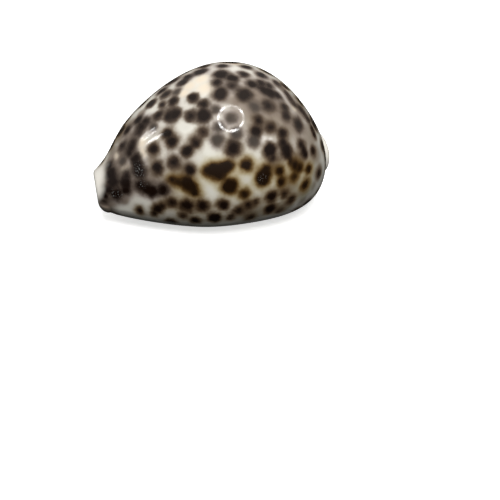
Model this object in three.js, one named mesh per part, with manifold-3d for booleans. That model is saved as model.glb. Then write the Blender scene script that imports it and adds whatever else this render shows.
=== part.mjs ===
// A large spotted cowrie shell at its real size, in millimetres, with +Z up.
// The real thing is one piece: a thick wall of shell rolled round a hollow. A toothed slit runs the
// whole length of its base and ends in a notch at each tip. It rests on the slit's two lips.
// -X is the narrow front tip, +X the broad back end, +Y the outer lip's side, -Y the inner lip's side.
import * as THREE from "three";
import { mergeVertices } from "three/addons/utils/BufferGeometryUtils.js";
import Module from "manifold-3d";

// Cross-sections from the front tip to the back end. The two half widths are measured from the long
// axis, margin is the height where the section is widest, and lean tips the section forwards, at its
// top and still more on its inner side. A base below zero is worn flat at zero, where the lips rest.
const STATIONS = [
  { x: -37.4, outer: 9.4, inner: 9.4, top: 19.2, base: 3.7, margin: 10.6, lean: -0.13 },
  { x: -36.2, outer: 10.6, inner: 10.4, top: 20.6, base: 3.2, margin: 10.8, lean: -0.12 },
  { x: -33.6, outer: 13.2, inner: 12.7, top: 25.2, base: 2.6, margin: 11.2, lean: -0.07 },
  { x: -26.0, outer: 19.6, inner: 18.8, top: 34.8, base: 1.3, margin: 12.5, lean: 0 },
  { x: -11.0, outer: 27.5, inner: 27.4, top: 45.2, base: -0.4, margin: 14.5, lean: 0 },
  { x: 5.0, outer: 30.5, inner: 30.5, top: 50.0, base: -1.1, margin: 16.0, lean: 0 },
  { x: 20.0, outer: 28.3, inner: 29.2, top: 46.8, base: -0.9, margin: 16.5, lean: 0 },
  { x: 31.5, outer: 21.6, inner: 23.4, top: 37.2, base: 0.5, margin: 16.0, lean: 0 },
  { x: 38.5, outer: 13.4, inner: 14.8, top: 27.0, base: 3.8, margin: 14.8, lean: 0 },
  { x: 40.5, outer: 9.7, inner: 9.9, top: 22.0, base: 6.2, margin: 13.8, lean: 0 },
  { x: 41.6, outer: 8.8, inner: 8.8, top: 20.6, base: 6.8, margin: 13.4, lean: 0 },
];
const LEAN_TO_SIDE = 1.5; // how much more a section leans towards its inner side than upwards
const BASE_SQUARENESS = 0.55; // 1 is an ellipse below the margin, 0 a box
const WALL = { side: 4.0, roof: 2.2 };
const WALL_AT_TIPS = { side: 6.0, roof: 5.2 };
const LIP_DEPTH = 6.2; // from the base up through the slit to the hollow's floor
const LIP_ROLL = 2.4; // radius of the rounded edge along the slit
const LIP_ROLL_SHARE = 0.45; // most of a lip's width or depth that the roll may take
const CANAL_CLEARANCE = 0.3; // the hollow is at least this much wider than the slit on each side
const FLOOR_SHARE = 0.35; // where the hollow is widest, as a share of its height
// Radii of the rounded rims at the two tips.
const FRONT_RIM = { outside: 3.8, inside: 0.8 };
const BACK_RIM = { outside: 2.2, inside: 2.2 };
const NO_INSET = { outside: 0, inside: 0 };

// The slit bows towards the outer lip and hooks back at the broad end.
const SLIT_BOW = 4.0;
const SLIT_BOW_FADE = 0.95;
const SLIT_HOOK = 0.9;
const SLIT_HALF_GAP = 2.8;
const SLIT_HALF_GAP_TAPER = 0.45;
const SLIT_PINCH = 0.9; // how much each half of the gap closes at the tips

// Teeth are the ridges left between grooves cut across each lip's rolled edge.
const TEETH = { outer: 26, inner: 24 };
const TEETH_SPAN = [-36, 38.5]; // along X
const GROOVE_RADIUS = 0.78;
const GROOVE_DEPTH = 0.76;
const GROOVE_LENGTH = 6;
const GROOVE_SIDES = 8;

// How finely the surface is stepped.
const STEPS_ALONG = 46;
const RIM_STEPS = 3;
const STEPS = { roll: 3, base: 5, dorsum: 16, floor: 4, roof: 12 };

const lerp = THREE.MathUtils.lerp;
const HALF_LENGTH = (STATIONS.at(-1).x - STATIONS[0].x) / 2;
const MIDDLE_X = (STATIONS.at(-1).x + STATIONS[0].x) / 2;

// A smooth curve through evenly spaced values, with no bend at its two ends.
function naturalSpline(values) {
  const last = values.length - 1;
  const upper = [0];
  const right = [0];
  for (let i = 1; i < last; i++) {
    const pivot = 4 - upper[i - 1];
    upper[i] = 1 / pivot;
    right[i] = (6 * (values[i - 1] - 2 * values[i] + values[i + 1]) - right[i - 1]) / pivot;
  }
  const bend = new Array(last + 1).fill(0);
  for (let i = last - 1; i > 0; i--) bend[i] = right[i] - upper[i] * bend[i + 1];
  return (t) => {
    const i = Math.min(Math.floor(t * last), last - 1);
    const b = t * last - i;
    const a = 1 - b;
    const chord = a * values[i] + b * values[i + 1];
    return chord + ((a ** 3 - a) * bend[i] + (b ** 3 - b) * bend[i + 1]) / 6;
  };
}

const PROFILES = Object.keys(STATIONS[0]).map((key) => [
  key,
  naturalSpline(STATIONS.map((station) => station[key])),
]);

// Everything that one cross-section needs, at a share of the way from the front tip to the back end.
// An inset shrinks the wall from its two faces, which rounds the rims.
function sectionAt(share, inset = NO_INSET) {
  const section = Object.fromEntries(PROFILES.map(([key, curve]) => [key, curve(share)]));
  const along = (section.x - MIDDLE_X) / HALF_LENGTH;
  const slit = SLIT_BOW * (1 - SLIT_BOW_FADE * along ** 2) - SLIT_HOOK * along;
  const tip = along ** 6;
  const gap = SLIT_HALF_GAP - SLIT_HALF_GAP_TAPER * along - SLIT_PINCH * tip + inset.inside;
  const sideWall = lerp(WALL.side, WALL_AT_TIPS.side, tip) - inset.inside;
  const roofWall = lerp(WALL.roof, WALL_AT_TIPS.roof, tip) - inset.inside;
  const edges = { outer: slit + gap, inner: slit - gap };
  const hollow = {
    outer: Math.max(section.outer - sideWall, edges.outer + CANAL_CLEARANCE),
    inner: Math.max(section.inner - sideWall, CANAL_CLEARANCE - edges.inner),
    top: section.top - roofWall,
    base: section.base + LIP_DEPTH - inset.inside,
  };
  hollow.margin = lerp(hollow.base, hollow.top, FLOOR_SHARE);
  section.outer -= inset.outside;
  section.inner -= inset.outside;
  section.top -= inset.outside;
  section.base += inset.outside;
  return { ...section, edges, hollow };
}

// The share of the way along at which a section stands at x.
function shareAt(x) {
  const xAt = PROFILES.find(([key]) => key === "x")[1];
  let low = 0;
  let high = 1;
  for (let halving = 0; halving < 30; halving++) {
    const middle = (low + high) / 2;
    if (xAt(middle) < x) low = middle;
    else high = middle;
  }
  return low;
}

const SIDES = { outer: 1, inner: -1 };

// Height of a flattened base at a distance from the long axis, never below the resting plane.
function baseHeight(form, halfWidth, y) {
  const share = Math.min(Math.abs(y) / halfWidth, 1) ** (1 / BASE_SQUARENESS);
  return Math.max(form.margin - (form.margin - form.base) * Math.sqrt(1 - share ** 2), 0);
}

// One side of a form's base as [y, z] points, from a starting y out to the margin.
function baseSide(form, side, startY, steps) {
  const sign = SIDES[side];
  const width = form[side];
  const reach = Math.max(sign * startY, 0) / width;
  const start = Math.acos(Math.min(reach, 1) ** (1 / BASE_SQUARENESS));
  const points = [[startY, baseHeight(form, width, startY)]];
  for (let i = 1; i <= steps; i++) {
    const y = sign * width * Math.cos(start * (1 - i / steps)) ** BASE_SQUARENESS;
    points.push([y, baseHeight(form, width, y)]);
  }
  return points;
}

// The domed upper half of a form, from the outer margin over the top to just before the inner one.
function dome(form, steps) {
  const points = [];
  for (let i = 1; i < steps; i++) {
    const angle = (Math.PI * i) / steps;
    const width = Math.cos(angle) > 0 ? form.outer : form.inner;
    points.push([width * Math.cos(angle), lerp(form.margin, form.top, Math.sin(angle))]);
  }
  return points;
}

function rollRadius(section, side) {
  const width = section[side] - SIDES[side] * section.edges[side];
  const depth = section.hollow.base - section.base;
  return Math.min(LIP_ROLL, LIP_ROLL_SHARE * width, LIP_ROLL_SHARE * depth);
}

// A lip's rolled edge, from inside the slit down to where the base begins.
function lipRoll(section, side) {
  const radius = rollRadius(section, side);
  const points = [];
  for (let i = 0; i < STEPS.roll; i++) {
    const angle = (Math.PI / 2) * (i / STEPS.roll);
    const y = section.edges[side] + SIDES[side] * radius * (1 - Math.cos(angle));
    points.push([y, baseHeight(section, section[side], y) + radius * (1 - Math.sin(angle))]);
  }
  return points;
}

function outerFace(section, side) {
  const rollEnd = section.edges[side] + SIDES[side] * rollRadius(section, side);
  return [...lipRoll(section, side), ...baseSide(section, side, rollEnd, STEPS.base)];
}

// The closed outline of the wall: outside from lip to lip, then back round the hollow.
function wallOutline(section) {
  const { hollow, edges } = section;
  const outline = [
    ...outerFace(section, "outer"),
    ...dome(section, STEPS.dorsum),
    ...outerFace(section, "inner").reverse(),
    ...baseSide(hollow, "inner", edges.inner, STEPS.floor),
    ...dome(hollow, STEPS.roof).reverse(),
    ...baseSide(hollow, "outer", edges.outer, STEPS.floor).reverse(),
  ];
  return outline.map(([y, z]) => new THREE.Vector2(y, z));
}

// Outlines in order along the shell, with a rounded rim at each tip.
function outlinesAlong() {
  const rows = [];
  const addRow = (share, inset, shift) => {
    const section = sectionAt(share, inset);
    rows.push({ section, shift, outline: wallOutline(section) });
  };
  const addRimRow = (share, rim, angle, way) => {
    const turned = 1 - Math.cos(angle);
    const inset = { outside: rim.outside * turned, inside: rim.inside * turned };
    addRow(share, inset, way * rim.outside * Math.sin(angle));
  };
  const turns = Array.from({ length: RIM_STEPS }, (_, i) => (Math.PI / 2) * ((i + 1) / RIM_STEPS));
  turns.toReversed().forEach((angle) => addRimRow(0, FRONT_RIM, angle, -1));
  for (let i = 0; i <= STEPS_ALONG; i++) addRow(i / STEPS_ALONG, NO_INSET, 0);
  turns.forEach((angle) => addRimRow(1, BACK_RIM, angle, 1));
  return rows;
}

// Joins the outlines into one closed skin and fills the two end outlines.
function loft(rows) {
  const count = rows[0].outline.length;
  const positions = rows.flatMap(({ section, shift, outline }) =>
    outline.flatMap(({ x: y, y: z }) => [
      section.x + shift + section.lean * (z - section.margin - LEAN_TO_SIDE * y),
      y,
      z,
    ]),
  );
  const index = [];
  for (let row = 0; row < rows.length - 1; row++) {
    for (let i = 0; i < count; i++) {
      const a = row * count + i;
      const b = row * count + ((i + 1) % count);
      index.push(a, b, a + count, b, b + count, a + count);
    }
  }
  const lastRow = (rows.length - 1) * count;
  for (const [a, b, c] of THREE.ShapeUtils.triangulateShape(rows[0].outline, [])) {
    index.push(a, c, b);
  }
  for (const [a, b, c] of THREE.ShapeUtils.triangulateShape(rows.at(-1).outline, [])) {
    index.push(lastRow + a, lastRow + b, lastRow + c);
  }
  const geometry = new THREE.BufferGeometry();
  geometry.setAttribute("position", new THREE.Float32BufferAttribute(positions, 3));
  return geometry.setIndex(index);
}

// A rod laid across a lip's rolled edge, which leaves a groove between two teeth.
function grooveRod(x, side) {
  const section = sectionAt(shareAt(x));
  const sign = SIDES[side];
  const radius = rollRadius(section, side);
  const centreY = section.edges[side] + sign * radius;
  const centreZ = baseHeight(section, section[side], centreY) + radius;
  const out = new THREE.Vector3(0, -sign, -1).normalize();
  const middle = new THREE.Vector3(section.x, centreY, centreZ);
  middle.addScaledVector(out, radius + GROOVE_RADIUS - GROOVE_DEPTH);
  const across = new THREE.Vector3(0, sign, -1).normalize();
  const turn = new THREE.Quaternion().setFromUnitVectors(THREE.Object3D.DEFAULT_UP, across);
  return new THREE.CylinderGeometry(GROOVE_RADIUS, GROOVE_RADIUS, GROOVE_LENGTH, GROOVE_SIDES)
    .applyQuaternion(turn)
    .translate(middle.x, middle.y, middle.z);
}

function toothGrooves() {
  return Object.entries(TEETH).flatMap(([side, count]) =>
    Array.from({ length: count }, (_, i) => grooveRod(lerp(...TEETH_SPAN, i / (count - 1)), side)),
  );
}

const wasm = await Module();
wasm.setup();

function solidFrom(geometry) {
  const bare = geometry.clone();
  bare.deleteAttribute("normal");
  bare.deleteAttribute("uv");
  const merged = mergeVertices(bare);
  return new wasm.Manifold(
    new wasm.Mesh({
      numProp: 3,
      vertProperties: merged.attributes.position.array,
      triVerts: new Uint32Array(merged.index.array),
    }),
  );
}

function geometryFrom(solid) {
  const mesh = solid.getMesh();
  const geometry = new THREE.BufferGeometry();
  geometry.setAttribute("position", new THREE.BufferAttribute(mesh.vertProperties, 3));
  return geometry.setIndex(new THREE.BufferAttribute(mesh.triVerts, 1));
}

// The whole shell, set with the middle of its footprint at the origin.
function shellGeometry() {
  const wall = solidFrom(loft(outlinesAlong()));
  const grooves = toothGrooves().map(solidFrom).reduce((joined, rod) => joined.add(rod));
  const geometry = geometryFrom(wall.subtract(grooves));
  geometry.computeBoundingBox();
  const { min, max } = geometry.boundingBox;
  geometry.translate(-(min.x + max.x) / 2, -(min.y + max.y) / 2, -min.z);
  geometry.computeVertexNormals();
  return geometry;
}

const glossyShell = new THREE.MeshStandardMaterial({
  color: 0xb9ada0,
  roughness: 0.12,
  metalness: 0,
});

const shell = new THREE.Mesh(shellGeometry(), glossyShell);
shell.name = "cowrie_shell";

const cowrie = new THREE.Group();
cowrie.add(shell);

export default cowrie;
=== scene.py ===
# %% [markdown]
# # A spotted cowrie shell
# A cowrie is one piece of shell, rolled round a hollow and polished by the animal that made it. This
# lesson gives the measured solid its looks: a fine smooth skin, rounded teeth along the slit, dark spots
# and a high gloss. Every length is in metres, in the same frame as the measured solid.

# %% Load the measured solid
import math

import bmesh
import bpy
import numpy as np
from mathutils import Matrix, Quaternion, Vector, noise
from mathutils.bvhtree import BVHTree


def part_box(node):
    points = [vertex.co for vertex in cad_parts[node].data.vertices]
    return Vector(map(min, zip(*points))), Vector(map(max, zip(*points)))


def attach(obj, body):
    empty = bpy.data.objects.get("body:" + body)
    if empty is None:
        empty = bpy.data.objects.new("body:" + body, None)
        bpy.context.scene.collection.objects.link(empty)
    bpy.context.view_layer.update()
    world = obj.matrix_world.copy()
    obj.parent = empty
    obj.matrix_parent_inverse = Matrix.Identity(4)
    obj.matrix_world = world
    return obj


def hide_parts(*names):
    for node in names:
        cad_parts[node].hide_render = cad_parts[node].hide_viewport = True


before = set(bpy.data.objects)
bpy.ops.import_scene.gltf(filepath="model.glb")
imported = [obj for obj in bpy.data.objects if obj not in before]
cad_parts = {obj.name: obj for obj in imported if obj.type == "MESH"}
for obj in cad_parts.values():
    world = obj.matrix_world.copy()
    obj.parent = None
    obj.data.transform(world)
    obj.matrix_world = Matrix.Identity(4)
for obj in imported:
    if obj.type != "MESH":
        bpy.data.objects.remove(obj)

MM = 0.001
scene = bpy.context.scene
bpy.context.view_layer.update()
solid_low, solid_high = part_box("cowrie_shell")
print("measured solid, mm:", [round(side / MM, 1) for side in solid_high - solid_low])

# %% [markdown]
# ## The camera
# The spots are placed by where they are seen, so the camera comes first. Its place is given as a compass
# angle, a height angle and a distance from a point inside the shell. The camera is then turned until that
# point falls on the pixel where the photograph shows it, which needs no lens shift.

# %% Camera
IMAGE_SIZE = 500  # pixels, both ways
SENSOR = 36.0  # millimetres, Blender's own unit for it
LENS = 81.8
CAMERA_AZIMUTH = math.radians(-21.5)
CAMERA_ELEVATION = math.radians(28.0)
CAMERA_ROLL = math.radians(2.5)
CAMERA_DISTANCE = 0.400
AIM_POINT = Vector((0, 0, 0.020))
AIM_PIXEL = (211.5, 149.7)


def pixel_ray(pixel):
    """The direction through a pixel, in the camera's own axes."""
    half = IMAGE_SIZE / 2
    reach = SENSOR / 2 / LENS
    return Vector(((pixel[0] - half) / half * reach, (half - pixel[1]) / half * reach, -1)).normalized()


def direction_of(azimuth, elevation):
    """The direction at a height angle and a compass angle, which is 0 at -Y and grows towards +X."""
    flat = math.cos(elevation)
    return Vector((math.sin(azimuth) * flat, -math.cos(azimuth) * flat, math.sin(elevation)))


def make_camera():
    data = bpy.data.cameras.new("camera")
    data.sensor_width = SENSOR
    data.lens = LENS
    camera = bpy.data.objects.new("camera", data)
    scene.collection.objects.link(camera)
    back = direction_of(CAMERA_AZIMUTH, CAMERA_ELEVATION)
    look = (-back).to_track_quat("-Z", "Y")
    roll = Quaternion((0, 0, 1), CAMERA_ROLL)
    aim = pixel_ray(AIM_PIXEL).rotation_difference(Vector((0, 0, -1)))
    camera.location = AIM_POINT + CAMERA_DISTANCE * back
    camera.rotation_mode = "QUATERNION"
    camera.rotation_quaternion = look @ roll @ aim
    scene.camera = camera
    return camera


camera = make_camera()
print("camera at, mm:", [round(side / MM) for side in camera.location])

# %% [markdown]
# ## The sections of the shell
# The shell is described by a few cross-sections along its length. A natural cubic spline runs through
# them, so that the outline has no kinks between one section and the next. A loft of curves would do the
# same, but a spline of plain numbers can be read off at any place along the shell.

# %% Sections
SECTION_NAMES = ("x", "outer", "inner", "top", "base", "margin", "lean")
SECTIONS = np.array(
    [
        (-0.0374, 0.0094, 0.0094, 0.0192, 0.0037, 0.0106, -0.13),
        (-0.0362, 0.0106, 0.0104, 0.0206, 0.0032, 0.0108, -0.12),
        (-0.0336, 0.0132, 0.0127, 0.0252, 0.0026, 0.0112, -0.07),
        (-0.0260, 0.0196, 0.0188, 0.0348, 0.0013, 0.0125, 0.0),
        (-0.0110, 0.0275, 0.0274, 0.0452, -0.0004, 0.0145, 0.0),
        (0.0050, 0.0305, 0.0305, 0.0500, -0.0011, 0.0160, 0.0),
        (0.0200, 0.0283, 0.0292, 0.0468, -0.0009, 0.0165, 0.0),
        (0.0315, 0.0216, 0.0234, 0.0372, 0.0005, 0.0160, 0.0),
        (0.0385, 0.0134, 0.0148, 0.0270, 0.0038, 0.0148, 0.0),
        (0.0405, 0.0097, 0.0099, 0.0220, 0.0062, 0.0138, 0.0),
        (0.0416, 0.0088, 0.0088, 0.0206, 0.0068, 0.0134, 0.0),
    ]
)


def natural_spline(knots, at):
    """Rows of a smooth curve through evenly spaced rows of knots, at shares of its length."""
    last = len(knots) - 1
    middle = 4 * np.eye(last - 1) + np.eye(last - 1, k=1) + np.eye(last - 1, k=-1)
    bend = np.zeros_like(knots)
    bend[1:-1] = np.linalg.solve(middle, 6 * (knots[:-2] - 2 * knots[1:-1] + knots[2:]))
    step = np.minimum((at * last).astype(int), last - 1)
    after = (at * last - step)[:, None]
    before = 1 - after
    chord = before * knots[step] + after * knots[step + 1]
    return chord + ((before**3 - before) * bend[step] + (after**3 - after) * bend[step + 1]) / 6


TRIAL_SHARES = np.linspace(0, 1, 2001)
TRIAL_X = natural_spline(SECTIONS, TRIAL_SHARES)[:, 0]
print("length between the rims, mm:", round((TRIAL_X[-1] - TRIAL_X[0]) / MM, 1))

# %% [markdown]
# ## Rings along the shell
# The rings stand evenly along the length, close enough for about ten to a tooth. Past each end a few more
# rings draw in along a quarter circle, which rounds the rim. Each number of a ring is kept as a column, so
# that one line of code works out all the rings at once.

# %% Rings
RINGS_ALONG = 240
RIM_STEPS = 8
FRONT_RIM = {"outside": 0.0038, "inside": 0.0008}
BACK_RIM = {"outside": 0.0022, "inside": 0.0022}
SIDE_WALL, SIDE_WALL_AT_TIPS = 0.0040, 0.0060
ROOF_WALL, ROOF_WALL_AT_TIPS = 0.0022, 0.0052
LIP_DEPTH = 0.0062
CANAL_CLEARANCE = 0.0003
FLOOR_SHARE = 0.35
SLIT_BOW = 0.0040
SLIT_BOW_FADE = 0.95
SLIT_HOOK = 0.0009
SLIT_HALF_GAP = 0.0028
SLIT_HALF_GAP_TAPER = 0.00045
SLIT_PINCH = 0.0009
TIP_POWER = 6  # keeps the thick wall near the tips


def rings_along():
    """The outside and the hollow of every ring, each as columns of numbers."""
    even_x = np.linspace(TRIAL_X[0], TRIAL_X[-1], RINGS_ALONG)
    body = np.interp(even_x, TRIAL_X, TRIAL_SHARES)
    quarter = np.linspace(math.pi / 2, 0, RIM_STEPS, endpoint=False)
    still = np.zeros(RINGS_ALONG)
    shares = np.concatenate([np.zeros(RIM_STEPS), body, np.ones(RIM_STEPS)])
    turn = np.concatenate([quarter, still, quarter[::-1]])
    way = np.concatenate([-np.ones(RIM_STEPS), still, np.ones(RIM_STEPS)])
    outside = dict(zip(SECTION_NAMES, natural_spline(SECTIONS, shares).T[:, :, None]))
    rims = {face: np.where(way < 0, FRONT_RIM[face], BACK_RIM[face])[:, None] for face in FRONT_RIM}
    drawn_in = (1 - np.cos(turn))[:, None]

    middle, half_length = (TRIAL_X[0] + TRIAL_X[-1]) / 2, (TRIAL_X[-1] - TRIAL_X[0]) / 2
    along = (outside["x"] - middle) / half_length
    slit = SLIT_BOW * (1 - SLIT_BOW_FADE * along**2) - SLIT_HOOK * along
    tip = along**TIP_POWER
    gap = SLIT_HALF_GAP - SLIT_HALF_GAP_TAPER * along - SLIT_PINCH * tip + rims["inside"] * drawn_in
    side = SIDE_WALL + (SIDE_WALL_AT_TIPS - SIDE_WALL) * tip - rims["inside"] * drawn_in
    roof = ROOF_WALL + (ROOF_WALL_AT_TIPS - ROOF_WALL) * tip - rims["inside"] * drawn_in
    edges = {"outer": slit + gap, "inner": slit - gap}
    hollow = {
        "outer": np.maximum(outside["outer"] - side, edges["outer"] + CANAL_CLEARANCE),
        "inner": np.maximum(outside["inner"] - side, CANAL_CLEARANCE - edges["inner"]),
        "top": outside["top"] - roof,
        "base": outside["base"] + LIP_DEPTH - rims["inside"] * drawn_in,
    }
    hollow["margin"] = hollow["base"] + FLOOR_SHARE * (hollow["top"] - hollow["base"])
    for name in ("outer", "inner", "top"):
        outside[name] = outside[name] - rims["outside"] * drawn_in
    outside["base"] = outside["base"] + rims["outside"] * drawn_in
    outside["shift"] = rims["outside"] * (way * np.sin(turn))[:, None]
    return outside, hollow, edges


outside, hollow, edges = rings_along()
print("rings:", len(outside["x"]))

# %% [markdown]
# ## One outline round the wall
# Each ring is a C with thick walls. It starts at the outer lip, runs over the base, up and across the
# domed back, down to the inner lip, and returns round the hollow. The base is a flattened half ellipse,
# worn flat where it rests, and the back is a plain one.

# %% Outline
SIDES = {"outer": 1, "inner": -1}
BASE_SQUARENESS = 0.55
LIP_ROLL = 0.0024
INNER_ROLL = 0.0010
ROLL_SHARE = 0.45
STEPS = {"roll": 8, "base": 26, "dome": 170, "wall": 4, "inner_roll": 4, "floor": 9, "roof": 30}


def base_height(form, side, y):
    """Height of a flattened base, never below the resting plane."""
    share = np.clip(np.abs(y) / form[side], 0, 1) ** (1 / BASE_SQUARENESS)
    drop = (form["margin"] - form["base"]) * np.sqrt(1 - share**2)
    return np.maximum(form["margin"] - drop, 0)


def base_run(form, side, start, steps):
    """From a start out to the margin, in steps that close up where the base turns upwards."""
    turn = np.sin(np.linspace(0, math.pi / 2, steps + 1))
    y = start + (SIDES[side] * form[side] - start) * turn
    return y, base_height(form, side, y)


def dome(form, steps):
    """From the outer margin over the top to just before the inner one."""
    angle = np.linspace(0, math.pi, steps + 1)[1:-1]
    width = np.where(np.cos(angle) > 0, form["outer"], form["inner"])
    return width * np.cos(angle), form["margin"] + (form["top"] - form["margin"]) * np.sin(angle)


def roll(form, side, most, steps, up):
    """A rounded edge of a lip, from the slit towards the base (up is 1) or the hollow's floor (-1)."""
    sign = SIDES[side]
    width = form[side] - sign * edges[side]
    depth = hollow["base"] - outside["base"]
    radius = np.minimum(most, ROLL_SHARE * np.minimum(width, depth))
    angle = np.linspace(0, math.pi / 2, steps, endpoint=False)
    y = edges[side] + sign * radius * (1 - np.cos(angle))
    z = base_height(form, side, y) + up * radius * (1 - np.sin(angle))
    return y, z, edges[side] + sign * radius


def wall_between(side, low, high):
    """The wall of the slit between its two rolls, going up."""
    share = np.linspace(0, 1, STEPS["wall"] + 2)[1:-1]
    z = low + (high - low) * share
    return edges[side] + 0 * z, z


def lip(side):
    """One side's lip from the base's margin round to the hollow's margin, as named runs of points."""
    roll_y, roll_z, base_start = roll(outside, side, LIP_ROLL, STEPS["roll"], 1)
    inner_y, inner_z, floor_start = roll(hollow, side, INNER_ROLL, STEPS["inner_roll"], -1)
    return {
        "base": base_run(outside, side, base_start, STEPS["base"]),
        "roll": (roll_y, roll_z),
        "wall": wall_between(side, roll_z[:, :1], inner_z[:, :1]),
        "inner_roll": (inner_y, inner_z),
        "floor": base_run(hollow, side, floor_start, STEPS["floor"]),
    }


lips = {side: lip(side) for side in SIDES}
print("points on a lip:", {name: run[0].shape[1] for name, run in lips["outer"].items()})

# %% [markdown]
# ## Teeth
# Fine ridges cross both lips, 26 on the outer one and 24 on the inner one. A texture would look flat from
# the side, so the points are moved. A wave along the shell pushes the surface in between two teeth, most on
# the rolled edge, and fades out over the base and inside the slit.

# %% Teeth
TEETH = {"outer": 26, "inner": 24}
TEETH_SPAN = (-0.0360, 0.0385)
GROOVE_DEPTH = 0.00085
GROOVE_REACH = {"outer": 0.0065, "inner": 0.0042}
GROOVE_SHARPNESS = 1.3
UNEVENNESS = 0.18
UNEVEN_STEP = 1.7  # radians from groove to groove


def smooth_step(values, start, end):
    share = np.clip((values - start) / (end - start), 0, 1)
    return share * share * (3 - 2 * share)


def groove_wave(side):
    """How deep each ring is cut on one side, from 0 on a tooth to about 1 between two."""
    first, last = TEETH_SPAN
    count = (outside["x"] - first) / (last - first) * (TEETH[side] - 1)
    wave = (0.5 + 0.5 * np.cos(2 * math.pi * count)) ** GROOVE_SHARPNESS
    uneven = 1 - UNEVENNESS * (0.5 + 0.5 * np.sin(UNEVEN_STEP * count + SIDES[side]))
    ends = smooth_step(count, -1, 0) * smooth_step(-count, -TEETH[side], 1 - TEETH[side])
    return wave * uneven * ends


def cut_teeth(side):
    """Pushes one lip's points inwards between the teeth and returns the depths, run by run."""
    runs, sign = lips[side], SIDES[side]
    depth = GROOVE_DEPTH * groove_wave(side)
    turn = np.linspace(0, math.pi / 2, STEPS["roll"], endpoint=False)
    base_y, base_z = runs["base"]
    fade = 1 - smooth_step(np.abs(base_y - base_y[:, :1]), 0, GROOVE_REACH[side])
    rise = np.linspace(1, 0, STEPS["wall"] + 2)[1:-1]
    cut = {
        "base": depth * fade,
        "roll": depth * np.ones(len(turn)),
        "wall": depth * rise,
        "inner_roll": 0 * runs["inner_roll"][0],
        "floor": 0 * runs["floor"][0],
    }
    runs["base"] = (base_y, base_z + cut["base"])
    runs["roll"] = (
        runs["roll"][0] + sign * cut["roll"] * np.cos(turn),
        runs["roll"][1] + cut["roll"] * np.sin(turn),
    )
    runs["wall"] = (runs["wall"][0] + sign * cut["wall"], runs["wall"][1])
    return cut


cuts = {side: cut_teeth(side) for side in SIDES}
print("deepest groove, mm:", {side: round(cut["roll"].max() / MM, 2) for side, cut in cuts.items()})

# %% [markdown]
# ## Rolling up the wall
# A flat grid is rolled into the shell: its rows become the rings and its columns run round each outline.
# The two long edges meet inside the slit and are merged, and the two end outlines are filled. Layers on the
# vertices keep what only the outline knows, which is how far inside the hollow a point is and how deep in a
# groove.

# %% Join the runs round the shell
LEAN_TO_SIDE = 1.5  # a section leans this much more towards its inner side than upwards
WALL_INSIDE = np.linspace(0, 1, STEPS["wall"] + 2)[1:-1]
INSIDE = {"base": 0, "roll": 0, "wall": WALL_INSIDE, "inner_roll": 1, "floor": 1}


def round_the_wall():
    """Arrays of y, z, inside and groove for every ring, in order round the outline."""
    parts = []

    def add(y, z, inside, groove, reverse=False):
        columns = [np.broadcast_to(values, y.shape) for values in (y, z, inside, groove)]
        parts.append([column[:, ::-1] if reverse else column for column in columns])

    def add_run(side, name, reverse=False):
        y, z = lips[side][name]
        add(y, z, INSIDE[name], cuts[side][name] / GROOVE_DEPTH, reverse)

    add_run("outer", "roll")
    add_run("outer", "base")
    add(*dome(outside, STEPS["dome"]), 0, 0)
    add_run("inner", "base", reverse=True)
    add_run("inner", "roll", reverse=True)
    add_run("inner", "wall")
    add_run("inner", "inner_roll")
    add_run("inner", "floor")
    add(*dome(hollow, STEPS["roof"]), 1, 0, reverse=True)
    add_run("outer", "floor", reverse=True)
    add_run("outer", "inner_roll", reverse=True)
    add_run("outer", "wall", reverse=True)
    return [np.concatenate(columns, axis=1) for columns in zip(*parts)]


wall_y, wall_z, wall_inside, wall_groove = round_the_wall()
lean_reach = wall_z - outside["margin"] - LEAN_TO_SIDE * wall_y
wall_x = outside["x"] + outside["shift"] + outside["lean"] * lean_reach
wall_x = wall_x + (solid_low.x + solid_high.x - wall_x.min() - wall_x.max()) / 2
wall_y = wall_y + (solid_low.y + solid_high.y - wall_y.min() - wall_y.max()) / 2
RINGS, COLUMNS = wall_y.shape
print("rings and points on each:", RINGS, COLUMNS)

# %% Roll a grid into the shell
GRID_HALF = 0.5
SEAM = 1e-6
CREASE_RINGS = (2, 34)  # from the front rim to just behind it
CREASE_FOOT = 0.0085  # the crease is left alone below this height


def roll_grid():
    """The closed shell, and the vertices of the crease behind its front rim."""
    sheet = bmesh.new()
    inside = sheet.verts.layers.float.new("inside")
    groove = sheet.verts.layers.float.new("groove")
    bmesh.ops.create_grid(sheet, x_segments=RINGS - 1, y_segments=COLUMNS, size=GRID_HALF)
    crease = []
    for vert in sheet.verts:
        ring = round((vert.co.x + GRID_HALF) * (RINGS - 1))
        column = round((vert.co.y + GRID_HALF) * COLUMNS) % COLUMNS
        vert.co = (wall_x[ring, column], wall_y[ring, column], wall_z[ring, column])
        vert[inside] = wall_inside[ring, column]
        vert[groove] = wall_groove[ring, column]
        if CREASE_RINGS[0] < ring < CREASE_RINGS[1] and vert.co.z > CREASE_FOOT and not vert[inside]:
            crease.append(vert)
    bmesh.ops.remove_doubles(sheet, verts=sheet.verts, dist=SEAM)
    rims = [edge for edge in sheet.edges if edge.is_boundary]
    ends = bmesh.ops.holes_fill(sheet, edges=rims, sides=0)["faces"]
    bmesh.ops.triangulate(sheet, faces=ends)
    bmesh.ops.recalc_face_normals(sheet, faces=sheet.faces)
    return sheet, [vert for vert in crease if vert.is_valid]


shell_mesh, crease = roll_grid()
print("faces:", len(shell_mesh.faces), "open edges:", sum(edge.is_boundary for edge in shell_mesh.edges))

# %% [markdown]
# ## A soft front tip
# The rounded front rim meets the steep body in a crease. On the real shell the glaze fills it, and the
# photograph shows one smooth slope. Smoothing moves each vertex of the crease towards the middle of its
# neighbours, again and again, and leaves the rim and the body as they are.

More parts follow.
